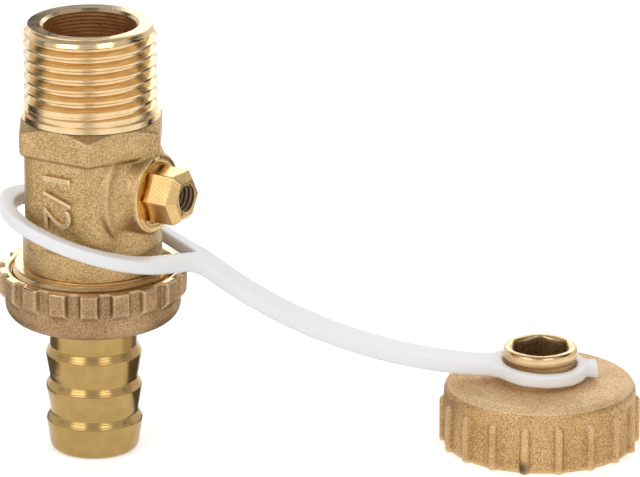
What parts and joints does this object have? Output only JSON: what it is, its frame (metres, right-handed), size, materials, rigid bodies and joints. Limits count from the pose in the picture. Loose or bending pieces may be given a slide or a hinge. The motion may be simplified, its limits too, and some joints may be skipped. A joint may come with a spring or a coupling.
{
  "type": "drain cock",
  "caption": "Brass drain ball valve with a male inlet thread, side stem, ribbed union nut, barbed hose tail and a ribbed key cap on a moulded strap.",
  "frame": {"origin": "on the valve axis at the shoulder under the inlet thread", "axes": "+Z along the valve axis towards the inlet, +X along the operating stem"},
  "size_m": [0.0905, 0.069, 0.0705],
  "materials": {
    "forged_brass": "forged and blasted",
    "turned_brass": "turned",
    "tail_brass": "turned, satin",
    "nut_brass": "forged, top face turned",
    "cap_brass": "forged, boss turned",
    "strap_plastic": "moulded polyethylene",
    "ptfe": "smooth",
    "seal_rubber": "moulded"
  },
  "bodies": {
    "valve_body": {"valve_body": "forged_brass", "upper_seat_ring": "ptfe", "lower_seat_ring": "ptfe", "seat_retainer": "turned_brass", "stem_thrust_washer": "ptfe"},
    "operating_stem": {"operating_stem": "turned_brass", "ball": "turned_brass", "stem_o_ring": "seal_rubber"},
    "hose_tail": {"hose_tail": "tail_brass", "tail_gasket": "seal_rubber"},
    "union_nut": {"union_nut": "nut_brass"},
    "retaining_strap": {"retaining_strap": "strap_plastic"},
    "cap": {"cap": "cap_brass", "cap_gasket": "seal_rubber"}
  },
  "joints": [
    {"name": "stem_quarter_turn", "type": "hinge", "parent": "valve_body", "child": "operating_stem", "pos_m": [0, 0, -0.012], "axis": [1, 0, 0], "range_deg": [0, 90]},
    {"name": "tail_draw_off", "type": "slide", "parent": "valve_body", "child": "hose_tail", "axis": [0, 0, -1], "range_m": [0, 0.0035]},
    {"name": "nut_turn", "type": "hinge", "parent": "hose_tail", "child": "union_nut", "pos_m": [0, 0, -0.0302], "axis": [0, 0, -1], "range_deg": [0, 720]},
    {"name": "strap_swivel", "type": "hinge", "parent": "valve_body", "child": "retaining_strap", "pos_m": [0, 0, -0.0226], "axis": [0, 0, 1], "range_deg": [-110, 55]},
    {"name": "cap_turn", "type": "hinge", "parent": "retaining_strap", "child": "cap", "pos_m": [0.05988, 0.03815, -0.0461], "axis": [0, 0, 1], "continuous": true}
  ],
  "couplings": [
    {"joint": "nut_turn", "follows": "tail_draw_off", "rad_per_m": 3463.7}
  ]
}
